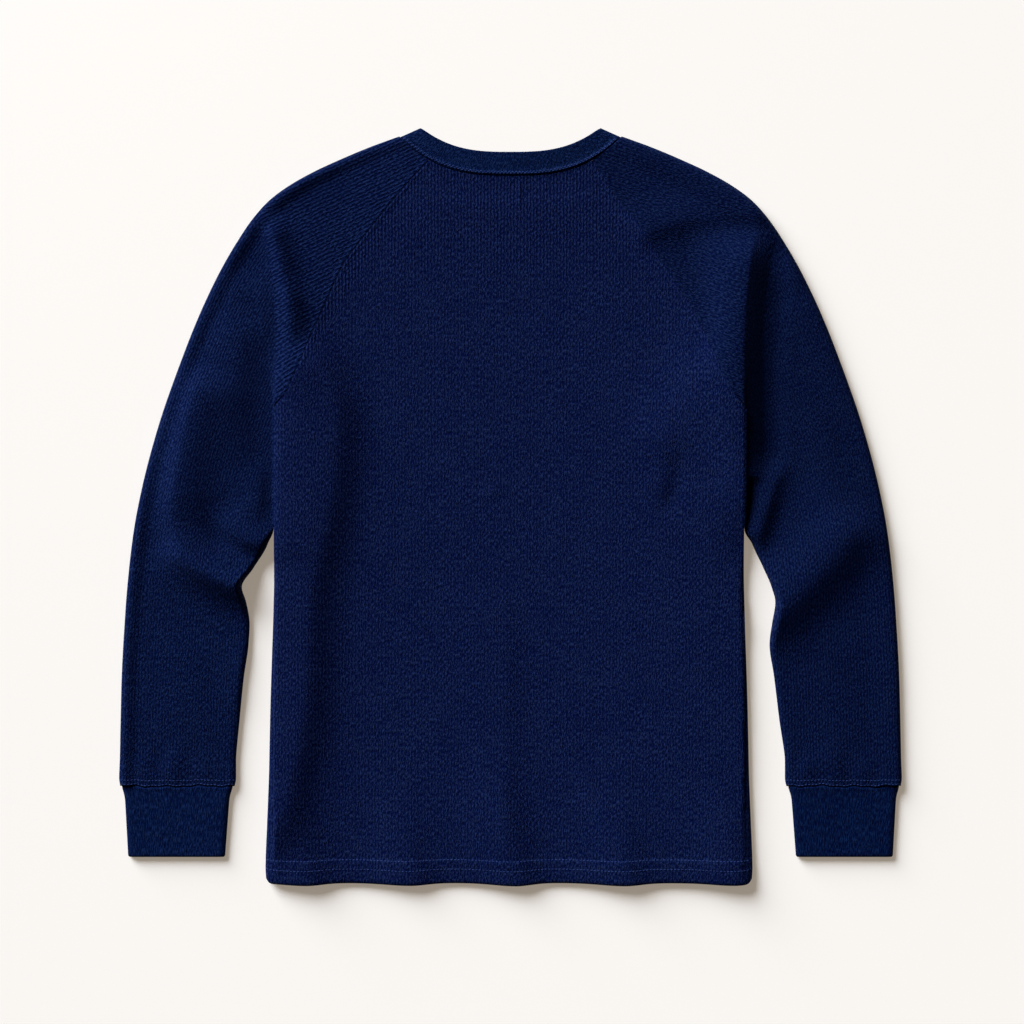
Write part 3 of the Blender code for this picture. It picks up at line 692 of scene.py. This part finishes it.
def cuff_face(side, across, row):
    """The outer face of a cuff: across runs 0 to 1 over the top, from the outer to the inner fold, and 1
    to 2 back underneath; row runs 0 to 1 from the sleeve to the open end."""
    upper = across <= 1.0
    place_in = np.where(upper, across, 2.0 - across)
    flare = CUFF_FLARE * bell(row * (CUFF_SEAM_Y - CUFF_END_Y), CUFF_FLARE_REACH)
    outer, inner = blend(*CUFF_OUTER, row) + flare, blend(*CUFF_INNER, row) - flare
    half = blend(*CUFF_EDGE_HALF, row)
    radius = np.where(upper, EDGE_ROLL, half)
    width = outer - inner
    inward = lay(place_in, width, TURN_CELLS / CUFF_CELLS, radius, radius)
    risen = roll(inward, radius) * roll(width - inward, radius)
    x, y = side * (outer - inward), blend(CUFF_SEAM_Y, CUFF_END_Y, row)
    pucker = sum(fold(x, y, *crease[2:]) for crease in PUCKERS)
    top_z = half + (blend(*CUFF_LEVEL, row) + pucker + seam_relief(np.abs(y - CUFF_SEAM_Y)) - half) * risen
    z = np.where(upper, top_z, half * (1.0 - risen))
    return place(x, y, z)


def steps(count, start=0.0, end=1.0):
    return np.linspace(start, end, count + 1)


def walk(lengths):
    """How far one has walked at the ends of steps of these lengths."""
    return np.concatenate(([0.0], np.cumsum(lengths)))


def layers(top, bottom):
    """Places across both layers, 0 to 1 above and 1 to 2 below, in so many cells each."""
    return np.concatenate((steps(top), steps(bottom, 1.0, 2.0)[1:]))


def rows_of(lengths, cell):
    """Row numbers with about one cell's length between them, in a number that THIN divides."""
    walked = walk(lengths)
    count = THIN * math.ceil(walked[-1] / cell / THIN)
    return np.interp(steps(count, 0.0, walked[-1]), walked, np.arange(len(walked)))


def normals(face, ring):
    """The unit normals of a grid of points; a ring's last column lies over its first."""
    if ring:
        around = np.concatenate((face[:, -2:-1], face, face[:, 1:2]), axis=1)
        along = around[:, 2:] - around[:, :-2]
    else:
        along = np.gradient(face, axis=1)
    away = np.gradient(face, axis=0)
    along /= np.linalg.norm(along, axis=-1, keepdims=True)
    away /= np.linalg.norm(away, axis=-1, keepdims=True)
    normal = np.cross(away, along)
    return normal / np.linalg.norm(normal, axis=-1, keepdims=True)


def corners(count_rows, count_columns, ring, start):
    """The corner numbers of a grid's cells, and of the same cells in a grid that isn't closed to a ring."""
    i, j = np.meshgrid(np.arange(count_rows - 1), np.arange(count_columns - 1), indexing="ij")
    width = count_columns - 1 if ring else count_columns
    closed = [start + a * width + b % width for a, b in ((i, j), (i, j + 1), (i + 1, j + 1), (i + 1, j))]
    plain = [a * count_columns + b for a, b in ((i, j), (i, j + 1), (i + 1, j + 1), (i + 1, j))]
    return np.stack(closed, -1).reshape(-1, 4), np.stack(plain, -1).reshape(-1, 4)


def at_corners(knit, numbers):
    """The ribs' coordinates at polygons' corners. Where knit holds a yoke's and an arm's coordinates and
    which of them holds, a polygon takes those of its first corner."""
    if knit.shape[-1] == 2:
        return knit[numbers]
    return np.where(knit[numbers[:, :1], 4:] > 0.5, knit[numbers][..., :2], knit[numbers][..., 2:4])


def shell(name, outer, wall, facing, material, knit, ring=False, rounded=()):
    """A wall of cloth as one closed solid: a fine outer face, a coarser inner face, and a rim. knit holds
    the ribs' coordinates at the outer face's points; rounded names the rows, "first" or "last", whose
    edge is a rounded fold."""
    normal = facing * normals(outer, ring)
    wall = np.broadcast_to(np.asarray(wall, float), outer.shape[:2])
    drawn_in = np.zeros(outer.shape[:2])
    for end in rounded:
        edge = outer[0] if end == "first" else outer[-1]
        distance = np.linalg.norm(outer - edge, axis=-1)
        drawn_in = np.maximum(drawn_in, ROUNDED_SHARE * wall * (1.0 - roll(distance, wall / 2)))
    upper = outer - drawn_in[..., None] * normal
    lower = (outer - (wall - drawn_in)[..., None] * normal)[::THIN, ::THIN]
    rows, columns = upper.shape[:2]
    thin_rows, thin_columns = lower.shape[:2]
    used = (slice(None), slice(0, -1)) if ring else (slice(None), slice(None))
    points = np.concatenate((upper[used].reshape(-1, 3), lower[used].reshape(-1, 3)))
    inner_start = upper[used].size // 3
    top_cells, top_plain = corners(rows, columns, ring, 0)
    low_cells, low_plain = corners(thin_rows, thin_columns, ring, inner_start)
    knit_top = knit.reshape(-1, knit.shape[-1])
    knit_low = knit[::THIN, ::THIN].reshape(-1, knit.shape[-1])
    turned = facing < 0
    way = 1 if turned else -1
    polygons = [top_cells[:, ::way], low_cells[:, ::-way]]
    coordinates = [at_corners(knit_top, top_plain[:, ::way]), at_corners(knit_low, low_plain[:, ::-way])]
    width, thin_width = (columns - 1, thin_columns - 1) if ring else (columns, thin_columns)
    upper_number = np.arange(rows)[:, None] * width + np.arange(columns)[None] % width
    lower_number = np.arange(thin_rows)[:, None] * thin_width + np.arange(thin_columns)[None] % thin_width
    lower_number += inner_start
    plain_number = np.arange(rows * columns).reshape(rows, columns)
    sides = [(0, slice(None), True), (-1, slice(None), False)]
    if not ring:
        sides += [(slice(None), 0, False), (slice(None), -1, True)]
    for row, line, forward in sides:
        fine, coarse, plain = upper_number[row, line], lower_number[row, line], plain_number[row, line]
        cells = len(coarse) - 1
        at = THIN * np.arange(cells)[:, None] + np.arange(THIN + 1)[None]
        around = np.concatenate((fine[at], coarse[1:, None], coarse[:-1, None]), axis=1)
        flat = np.concatenate((plain[at], plain[at][:, -1:], plain[at][:, :1]), axis=1)
        if forward == turned:
            around, flat = around[:, ::-1], flat[:, ::-1]
        polygons.append(around)
        coordinates.append(at_corners(knit_top, flat))
    return mesh_piece(name, points, polygons, coordinates, material)


def add(name, data):
    """A new object in the scene."""
    made = bpy.data.objects.new(name, data)
    bpy.context.scene.collection.objects.link(made)
    return made


def mesh_piece(name, points, polygons, coordinates, material):
    """An object from points in millimetres, groups of polygons, and the knit's coordinates at corners."""
    data = bpy.data.meshes.new(name)
    data.vertices.add(len(points))
    data.vertices.foreach_set("co", (points * MM).astype(np.float32).ravel())
    loops = np.concatenate([group.ravel() for group in polygons]).astype(np.int32)
    sizes = np.concatenate([np.full(len(group), group.shape[1]) for group in polygons])
    data.loops.add(len(loops))
    data.loops.foreach_set("vertex_index", loops)
    data.polygons.add(len(sizes))
    data.polygons.foreach_set("loop_start", (np.cumsum(sizes) - sizes).astype(np.int32))
    layer = data.uv_layers.new(name="knit")
    flat = np.concatenate([group.reshape(-1, 2) for group in coordinates])
    layer.data.foreach_set("uv", flat.astype(np.float32).ravel())
    clear = data.attributes.new("ribbing", "FLOAT", "POINT")
    clear.data.foreach_set("value", ribbing(points[:, 0], points[:, 1]).astype(np.float32))
    data.update(calc_edges=True)
    data.validate()
    data.shade_smooth()
    data.materials.append(material)
    return add(name, data)


def stitches(name, lines, material):
    """Short lengths of thread along lines of points, each standing a little out of the cloth."""
    points, quads = [], []
    around = np.arange(6) * math.tau / 6
    for line in lines:
        walked = walk(np.linalg.norm(np.diff(line, axis=0), axis=1))
        starts = np.arange(STITCH_PITCH / 2, walked[-1] - STITCH_PITCH, STITCH_PITCH)
        for start in starts:
            at = start + np.array(STITCH_PLACES) * STITCH_LENGTH
            middle = np.stack([np.interp(at, walked, line[:, n]) for n in range(3)], axis=-1)
            ahead = middle[-1] - middle[0]
            ahead /= np.linalg.norm(ahead)
            beside = np.cross(ahead, (0.0, 0.0, 1.0))
            beside /= np.linalg.norm(beside)
            above = np.cross(beside, ahead)
            thick = THREAD / 2 * np.array(STITCH_THICKNESS)
            ring = np.cos(around)[:, None] * beside + np.sin(around)[:, None] * above
            first = len(points) * len(at) * len(around)
            points.append((middle[:, None] + thick[:, None, None] * ring[None]).reshape(-1, 3))
            quads.extend((corners(len(at), len(around) + 1, True, first)[0], first + STITCH_ENDS))
    points, quads = np.concatenate(points), np.concatenate(quads)
    return mesh_piece(name, points, [quads], [np.zeros((len(quads), 4, 2))], material)


def armhole_x(y):
    """How far out the fold at the armhole is, where a sleeve's ribs turn down the arm."""
    return np.interp(y, *ARMHOLE)


def sleeve_knit(face, inward, across, rows):
    """The ribs' coordinates on a sleeve: along the shoulder on the yoke, and down the arm outside it."""
    x, y = np.abs(face[..., 0]), face[..., 1]
    line = y + RIB_SLOPE * x
    low, high = RIB_ANGLE["left" if face[0, 0, 0] < 0.0 else "right"]
    for _ in range(3):
        slope = np.tan(np.radians(blend(low, high, smooth((line - RIB_TURN_FROM) / RIB_TURN_OVER))))
        line = y + slope * x
    across_yoke, along_yoke = line * np.cos(np.arctan(slope)), x * np.hypot(1.0, slope)
    yoke = np.stack((across_yoke / YOKE_WALE, along_yoke / COURSE), axis=-1)
    fold_x, fold_y = column(SLEEVE["fold_x"], rows), column(SLEEVE["fold_y"], rows)
    walked = walk(np.hypot(np.diff(fold_x[:, 0]), np.diff(fold_y[:, 0])))
    signed = inward * np.sign(across - 1.0 + 1e-9)
    arm = np.stack((signed / ARM_WALE, np.broadcast_to(walked[:, None], x.shape) / COURSE), axis=-1)
    on_yoke = (x < armhole_x(y)) & (rows < UNDERARM_ROW)
    return np.concatenate((yoke, arm, on_yoke[..., None]), axis=-1)


def node(tree, kind, settings=(), **inputs):
    """A shader node; an input is a value or another node's output."""
    made = tree.nodes.new("ShaderNode" + kind)
    for key, value in dict(settings).items():
        setattr(made, key, value)
    for key, value in inputs.items():
        numbered = key[0] == "i" and key[1:].isdigit()
        socket = made.inputs[int(key[1:]) if numbered else key]
        if isinstance(value, bpy.types.NodeSocket):
            tree.links.new(value, socket)
        else:
            socket.default_value = value
    return made


def sums(tree, operation, *values):
    """The output of a maths node."""
    inputs = {f"i{n}": value for n, value in enumerate(values)}
    return node(tree, "Math", {"operation": operation}, **inputs).outputs[0]


def noise(tree, where, scale, detail, roughness):
    """The outputs of a noise texture."""
    return node(tree, "TexNoise", Vector=where, Scale=scale, Detail=detail, Roughness=roughness).outputs


def set_inputs(made, values):
    """Gives a shader node's inputs their values."""
    for key, value in values.items():
        made.inputs[key].default_value = value


def new_material(name):
    material = bpy.data.materials.new(name)
    material.use_nodes = True
    return material, material.node_tree.nodes["Principled BSDF"]


def cloth(name, dark, light, grain, ribbed=False):
    """A knitted cloth, with painted shade in its hollows and painted light on its loops that follow its bump,
    which stand out as grain says. A ribbed one reads how clear its ribs are from the mesh."""
    material, shader = new_material(name)
    tree = material.node_tree
    where = node(tree, "TexCoord").outputs["Object"]
    fleck = noise(tree, where, FLECK_SCALE, 1.0, 0.7)["Fac"]
    broad = noise(tree, where, PATCH_SCALE, 3.0, 0.55)["Fac"]
    knit = node(tree, "UVMap", {"uv_map": "knit"}).outputs["UV"]
    drawn = node(tree, "VectorMath", {"operation": "MULTIPLY"}, i0=knit, i1=LOOP_STRETCH)
    loops = noise(tree, drawn.outputs[0], LOOP_SCALE, 1.0, 0.6)["Fac"]
    loops = sums(tree, "SUBTRACT", loops, 0.5)
    if ribbed:
        wander = noise(tree, knit, WANDER_SCALE, 2.0, 0.5)["Color"]
        both = {"operation": "MULTIPLY_ADD"}
        strayed = node(tree, "VectorMath", both, i0=wander, i1=RIB_WANDER, i2=knit)
        axes = node(tree, "SeparateXYZ", Vector=strayed.outputs[0]).outputs
        ribs = sums(tree, "COSINE", sums(tree, "MULTIPLY", axes["X"], math.tau))
        shift = sums(tree, "MULTIPLY", sums(tree, "FLOOR", sums(tree, "ADD", axes["X"], 0.5)), 0.5)
        dash = sums(tree, "COSINE", sums(tree, "MULTIPLY", sums(tree, "ADD", axes["Y"], shift), math.tau))
        waffle = sums(tree, "MULTIPLY_ADD", dash, DASH_SHARE, sums(tree, "MULTIPLY", ribs, RIB_SHARE))
        clear = node(tree, "Attribute", {"attribute_name": "ribbing"}).outputs["Fac"]
        relief = sums(tree, "MULTIPLY_ADD", waffle, clear, sums(tree, "MULTIPLY", loops, grain))
    else:
        relief = sums(tree, "MULTIPLY", loops, grain)
    # The colour follows the bump height: painted shade in the hollows and painted light on the loops, with
    # random broad patches and fine flecks added.
    patch = sums(tree, "MULTIPLY", sums(tree, "SUBTRACT", broad, 0.5), PATCH_SHARE)
    shade_and_tone = sums(tree, "ADD", sums(tree, "MULTIPLY_ADD", relief, PAINTED_SHADE_SHARE, TONE_MIDDLE), patch)
    shade_and_tone = sums(tree, "MULTIPLY_ADD", sums(tree, "SUBTRACT", fleck, 0.5), FLECK_SHARE * grain, shade_and_tone)
    shade_and_tone = sums(tree, "POWER", sums(tree, "MAXIMUM", shade_and_tone, 0.0), TONE_POWER)
    mixed = node(tree, "Mix", {"data_type": "RGBA"}, i6=(*dark, 1.0), i7=(*light, 1.0))
    tree.links.new(shade_and_tone, mixed.inputs[0])
    tree.links.new(mixed.outputs[2], shader.inputs["Base Color"])
    bump = node(tree, "Bump", Strength=1.0, Distance=KNIT_DEPTH * MM, Height=relief)
    tree.links.new(bump.outputs["Normal"], shader.inputs["Normal"])
    set_inputs(shader, CLOTH_SHADER)
    return material


def ribbing(x, y):
    """How clear the ribs are over the place x, y, in their bump and in the painted shade and light that
    follow it: most on the left yoke, and least low on the back.
    """
    on_back = np.abs(x) < np.interp(y, *BACK_SPAN)
    back = blend(*BACK_CLEAR, smooth((y - 190.0) / 90.0))
    near, far = RIGHT_YOKE_CLEAR
    yoke = np.where(x < 0.0, LEFT_YOKE_CLEAR, blend(far, near, smooth((150.0 - x) / 50.0)))
    arm = blend(LOW_ARM_CLEAR, np.where(x < 0.0, *HIGH_ARM_CLEAR), smooth((y + 20.0) / 140.0))
    on_yoke = (y > UNDERARM_Y) & (np.abs(x) < armhole_x(y))
    return np.where(on_back, back, np.where(on_yoke, yoke, arm))


def build_top():
    """Every piece of the top, by its name."""
    looks = {name: cloth(name, *look) for name, look in CLOTHS.items()}
    made = {}
    spacing = np.diff(SLEEVE["seam_y"])[:UNDERARM_ROW]
    for name, cells, cell, underneath in (
        ("back_cloth", BACK_CELLS, BACK_ROW, False),
        ("front_cloth", FRONT_CELLS, FRONT_ROW, True),
    ):
        rows = rows_of(np.abs(np.concatenate((spacing, np.diff(BODY["y"])))), cell)
        across, row = np.meshgrid(steps(cells), rows)
        face = panel_face(underneath, across, row)
        ribs = np.stack((face[..., 0] / WALE, face[..., 1] / COURSE), axis=-1)
        wall = blend(KNIT_WALL, HEM_WALL, smooth(row - HEM_ROW + 1))
        facing = -1 if underneath else 1
        made[name] = shell(name, face, wall, facing, looks["waffle_knit"], ribs, rounded=("last",))
    lengths = np.hypot(np.diff(SLEEVE["fold_x"]), np.diff(SLEEVE["fold_y"]))
    for name, side in (("left", -1), ("right", 1)):
        across, row = np.meshgrid(layers(**SLEEVE_CELLS), rows_of(lengths, SLEEVE_ROW))
        face, inward = sleeve_face(side, across, row)
        # The right sleeve takes the copy of the knit darkened with painted shade.
        look, name = looks[f"waffle_knit_{name}"], f"sleeve_cloth_{name}"
        made[name] = shell(name, face, KNIT_WALL, side, look, sleeve_knit(face, inward, across, row))
    across, row = np.meshgrid(layers(**NECK_CELLS), steps(NECK_ROWS))
    face = neck_face(across % 2.0, row)
    streaks = np.stack((across, row), axis=-1) * BAND_STREAKS
    look = looks["neckband_knit"]
    made["neckband_cloth"] = shell("neckband_cloth", face, BAND_WALL, 1, look, streaks, True, ("first",))
    for name, side in (("left", -1), ("right", 1)):
        across, row = np.meshgrid(layers(CUFF_CELLS, CUFF_CELLS), steps(CUFF_ROWS))
        face = cuff_face(side, across % 2.0, row)
        streaks = np.stack((across, row), axis=-1) * CUFF_STREAKS
        # The right cuff takes the copy of the knit darkened with painted shade.
        look, name = looks[f"cuff_knit_{name}"], f"cuff_cloth_{name}"
        made[name] = shell(name, face, BAND_WALL, -side, look, streaks, True, ("last",))
    made.update(build_stitches(looks["thread"]))
    return made


def thread_lines(face, at_rows, across, *fixed):
    """The lines that rows of stitches follow on the outer face that the function gives, a little sunk."""
    lines = []
    for at in at_rows:
        made = face(*fixed, across[None], np.full((1, len(across)), at))
        points = made[0] if isinstance(made, tuple) else made
        lines.append(points[0] - np.array((0.0, 0.0, THREAD_SUNK)))
    return lines


def build_stitches(thread):
    """The rows of stitches on the hem, at the ends of the sleeves and beside the neck's seam."""
    over = steps(LINE_SPANS, STITCHED_FROM, STITCHED_TO)
    lines = thread_lines(panel_face, HEM_STITCHES, over, False)
    made = {"hem_stitches": stitches("hem_stitches", lines, thread)}
    for name, side in (("sleeve_stitches_left", -1), ("sleeve_stitches_right", 1)):
        made[name] = stitches(name, thread_lines(sleeve_face, END_STITCHES, over, side), thread)
    made["neck_stitches"] = stitches("neck_stitches", thread_lines(neck_face, NECK_STITCHES, over), thread)
    return made


def finish_pieces(made):
    """Fastens each piece and its stitches to the frame, and hides the solid that it stands for."""
    stands_for = {
        "back_cloth": ("back_panel", "waffle_knit", (0.457, 0.69), 0.9, "hem_stitches"),
        "front_cloth": ("front_panel", "waffle_knit", (0.457, 0.655), 0.88, None),
        "sleeve_cloth_left": ("sleeve_left", "waffle_knit", (0.38, 0.67), 0.6, "sleeve_stitches_left"),
        "sleeve_cloth_right": ("sleeve_right", "waffle_knit", (0.38, 0.67), 0.6, "sleeve_stitches_right"),
        "neckband_cloth": ("neckband", "jersey_trim", (0.51, 0.0225), None, "neck_stitches"),
        "cuff_cloth_left": ("cuff_left", "jersey_trim", (0.195, 0.066), None, None),
        "cuff_cloth_right": ("cuff_right", "jersey_trim", (0.195, 0.066), None, None),
    }
    for name, (cad, slot, flat, share, sewn) in stands_for.items():
        piece = made[name]
        with_pieces = [made[sewn]] if sewn else []
        for stitching in with_pieces:
            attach(stitching, "root")
        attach(piece, "root")
        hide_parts(cad)


def build_stage():
    """The pale floor, the lights and the camera, straight above."""
    material, shader = new_material("paper")
    set_inputs(shader, {"Base Color": (0.70, 0.715, 0.735, 1.0), "Roughness": 0.9, "Specular IOR Level": 0.0})
    set_inputs(shader, {"Emission Color": (1.0, 0.84, 0.66, 1.0), "Emission Strength": 0.28})
    data = bpy.data.meshes.new("floor")
    ends = [(-FLOOR_REACH, -FLOOR_REACH, 0), (FLOOR_REACH, -FLOOR_REACH, 0)]
    ends += [(FLOOR_REACH, FLOOR_REACH, 0), (-FLOOR_REACH, FLOOR_REACH, 0)]
    data.from_pydata(ends, [], [(0, 1, 2, 3)])
    data.materials.append(material)
    floor = add("floor", data)

    world = bpy.data.worlds.new("studio")
    bpy.context.scene.world = world
    world.use_nodes = True
    fill = {"Color": (1.0, 1.0, 1.0, 1.0), "Strength": FILL_STRENGTH}
    set_inputs(world.node_tree.nodes["Background"], fill)

    light = bpy.data.lights.new("key", "SUN")
    light.energy = KEY_STRENGTH
    light.angle = math.radians(KEY_SPREAD)
    key = add("key", light)
    key.rotation_euler = (math.radians(90.0 - KEY_ELEVATION), 0.0, math.radians(KEY_AZIMUTH))

    light = bpy.data.lights.new("near", "AREA")
    light.energy, light.size = NEAR_STRENGTH, NEAR_SIZE
    near = add("near", light)
    near.location = NEAR_PLACE
    near.rotation_euler = (-Vector(NEAR_PLACE)).to_track_quat("-Z", "Y").to_euler()

    camera = bpy.data.cameras.new("camera")
    camera.lens, camera.sensor_width = CAMERA_LENS, CAMERA_SENSOR
    above = add("camera", camera)
    above.location = CAMERA_PLACE
    bpy.context.scene.camera = above
    bpy.context.scene.view_settings.view_transform = "Standard"


pieces = build_top()
finish_pieces(pieces)
build_stage()
